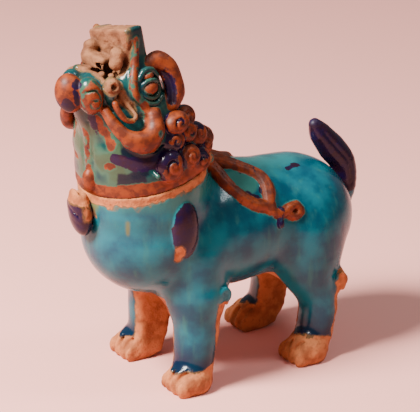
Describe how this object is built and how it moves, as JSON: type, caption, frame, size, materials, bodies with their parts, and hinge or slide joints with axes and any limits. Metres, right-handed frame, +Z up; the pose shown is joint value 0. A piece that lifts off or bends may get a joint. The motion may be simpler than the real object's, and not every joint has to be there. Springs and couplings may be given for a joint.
{
  "type": "beast figure",
  "caption": "Glazed pottery beast figure: a hollow four-legged body with an open neck and a hollow head that lifts off as its lid.",
  "frame": {"origin": "on the floor under the middle of the figure's length and width", "axes": "+Z up, +X towards the tail, so the beast faces -X; -Y is the beast's left side, the one the picture shows"},
  "size_m": [0.1671, 0.0702, 0.1795],
  "materials": {
    "body_glaze": "gloss",
    "head_glaze": "gloss"
  },
  "bodies": {
    "root": {"body": "body_glaze", "head_cover": "head_glaze"}
  },
  "joints": []
}
